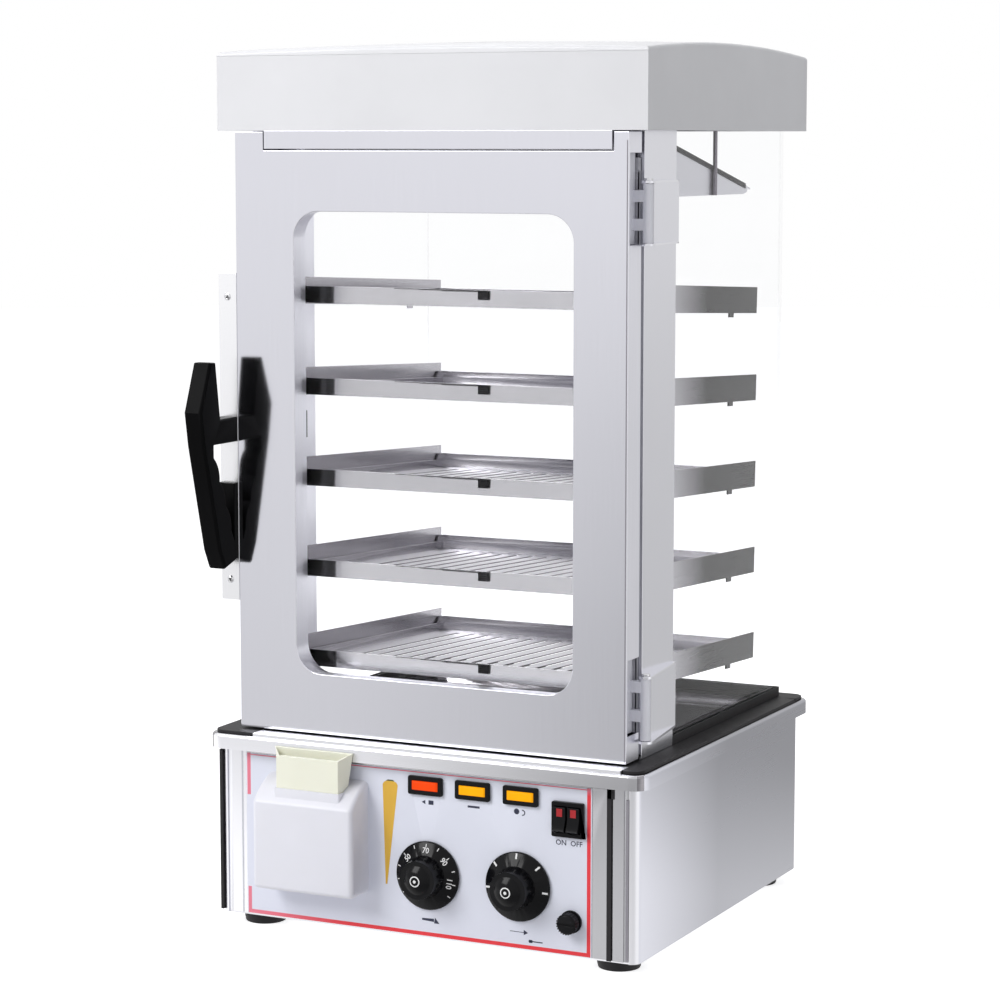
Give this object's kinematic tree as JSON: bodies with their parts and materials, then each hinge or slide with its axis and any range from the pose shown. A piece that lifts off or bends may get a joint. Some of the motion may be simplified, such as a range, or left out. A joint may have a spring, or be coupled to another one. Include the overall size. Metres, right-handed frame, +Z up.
{
  "type": "countertop food steamer",
  "caption": "Glass-sided countertop food steamer: slotted trays over a water tank, hinged door with window, domed cap, control panel and filling box on the base.",
  "frame": {"origin": "on the table under the middle of the steamer's footprint", "axes": "+X to the right of someone facing the door, +Y to the back, +Z up"},
  "size_m": [0.386, 0.4364, 0.7135],
  "materials": {
    "housing_steel": "satin",
    "cabinet_steel": "satin",
    "door_steel": "polished",
    "tray_steel": "satin",
    "tank_steel": "satin",
    "bright_chrome": "polished",
    "brass_fitting": "satin",
    "cap_paint": "satin",
    "printed_fascia": "satin",
    "white_plastic": "satin",
    "cream_plastic": "satin",
    "black_plastic": "matte",
    "gloss_black": "gloss",
    "handle_black": "satin",
    "red_lens": "gloss",
    "amber_lens": "gloss",
    "black_rubber": "matte",
    "clear_glass": "clear"
  },
  "bodies": {
    "steamer": {"base_side_left": "housing_steel", "base_side_right": "housing_steel", "base_rear_panel": "housing_steel", "base_front_frame": "housing_steel", "front_panel": "housing_steel", "fascia": "printed_fascia", "base_plate": "housing_steel", "feet": "black_rubber", "water_tank": "tank_steel", "cabinet_seals": "black_rubber", "heating_element": "bright_chrome", "level_probe": "bright_chrome", "thermostat_body": "black_plastic", "regulator_body": "black_plastic", "lamp_bezels": "black_plastic", "lamp_lens_red": "red_lens", "lamp_lenses_amber": "amber_lens", "switch_housing": "gloss_black", "fuse_holder": "black_plastic", "fill_box": "white_plastic", "fill_funnel": "cream_plastic", "fill_pipe": "brass_fitting", "drain_valve": "brass_fitting", "cord_gland": "black_plastic", "post_left": "cabinet_steel", "post_right": "cabinet_steel", "front_crossbars": "cabinet_steel", "side_glass": "clear_glass", "rear_glass": "clear_glass", "ceiling_pan": "cabinet_steel", "cap": "cap_paint", "header_strip": "door_steel", "baffle": "cabinet_steel", "baffle_rods": "tray_steel", "tray_arms_left": "tray_steel", "tray_arms_right": "tray_steel", "hinge_brackets": "cabinet_steel", "hinge_pins": "bright_chrome", "catch_magnet": "black_plastic"},
    "door": {"door_pan": "door_steel", "door_inner_pan": "door_steel", "door_glass": "clear_glass", "door_gasket": "black_rubber", "handle_plate": "door_steel", "handle": "handle_black", "door_hinges": "cabinet_steel", "catch_strike": "bright_chrome"},
    "tray_1_sliding": {"tray_1": "tray_steel"},
    "tray_2_sliding": {"tray_2": "tray_steel"},
    "tray_3_sliding": {"tray_3": "tray_steel"},
    "tray_4_sliding": {"tray_4": "tray_steel"},
    "tray_5_sliding": {"tray_5": "tray_steel"},
    "thermostat_knob": {"knob_thermostat": "gloss_black", "thermostat_shaft": "bright_chrome"},
    "regulator_knob": {"knob_regulator": "gloss_black", "regulator_shaft": "bright_chrome"},
    "left_rocker": {"rocker_left": "gloss_black"},
    "right_rocker": {"rocker_right": "gloss_black"},
    "fuse_cap": {"fuse_cap": "black_plastic"},
    "drain_lever": {"drain_lever": "housing_steel"}
  },
  "joints": [
    {"name": "door_hinge", "type": "hinge", "parent": "steamer", "child": "door", "pos_m": [0.1775, -0.142, 0.4], "axis": [0, 0, 1], "range_deg": [0, 110]},
    {"name": "tray_1_slide", "type": "slide", "parent": "steamer", "child": "tray_1_sliding", "axis": [0, -0.9986, 0.0523], "range_m": [0, 0.01]},
    {"name": "tray_2_slide", "type": "slide", "parent": "steamer", "child": "tray_2_sliding", "axis": [0, -0.9986, 0.0523], "range_m": [0, 0.01]},
    {"name": "tray_3_slide", "type": "slide", "parent": "steamer", "child": "tray_3_sliding", "axis": [0, -0.9986, 0.0523], "range_m": [0, 0.01]},
    {"name": "tray_4_slide", "type": "slide", "parent": "steamer", "child": "tray_4_sliding", "axis": [0, -0.9986, 0.0523], "range_m": [0, 0.01]},
    {"name": "tray_5_slide", "type": "slide", "parent": "steamer", "child": "tray_5_sliding", "axis": [0, -0.9986, 0.0523], "range_m": [0, 0.01]},
    {"name": "thermostat_turn", "type": "hinge", "parent": "steamer", "child": "thermostat_knob", "pos_m": [0.0064, -0.18, 0.0613], "axis": [0, 1, 0], "range_deg": [0, 270]},
    {"name": "regulator_turn", "type": "hinge", "parent": "steamer", "child": "regulator_knob", "pos_m": [0.085, -0.18, 0.0613], "axis": [0, 1, 0], "range_deg": [0, 300]},
    {"name": "left_rocker_tilt", "type": "hinge", "parent": "steamer", "child": "left_rocker", "pos_m": [0.1219, -0.1759, 0.1185], "axis": [1, 0, 0], "range_deg": [0, 20]},
    {"name": "right_rocker_tilt", "type": "hinge", "parent": "steamer", "child": "right_rocker", "pos_m": [0.1335, -0.1759, 0.1185], "axis": [1, 0, 0], "range_deg": [0, 20]},
    {"name": "fuse_cap_turn", "type": "hinge", "parent": "steamer", "child": "fuse_cap", "pos_m": [0.13, -0.18, 0.0384], "axis": [0, -1, 0], "range_deg": [0, 60]},
    {"name": "drain_lever_turn", "type": "hinge", "parent": "steamer", "child": "drain_lever", "pos_m": [0, 0.1885, 0.12], "axis": [0, 0, 1], "range_deg": [0, 90]}
  ]
}
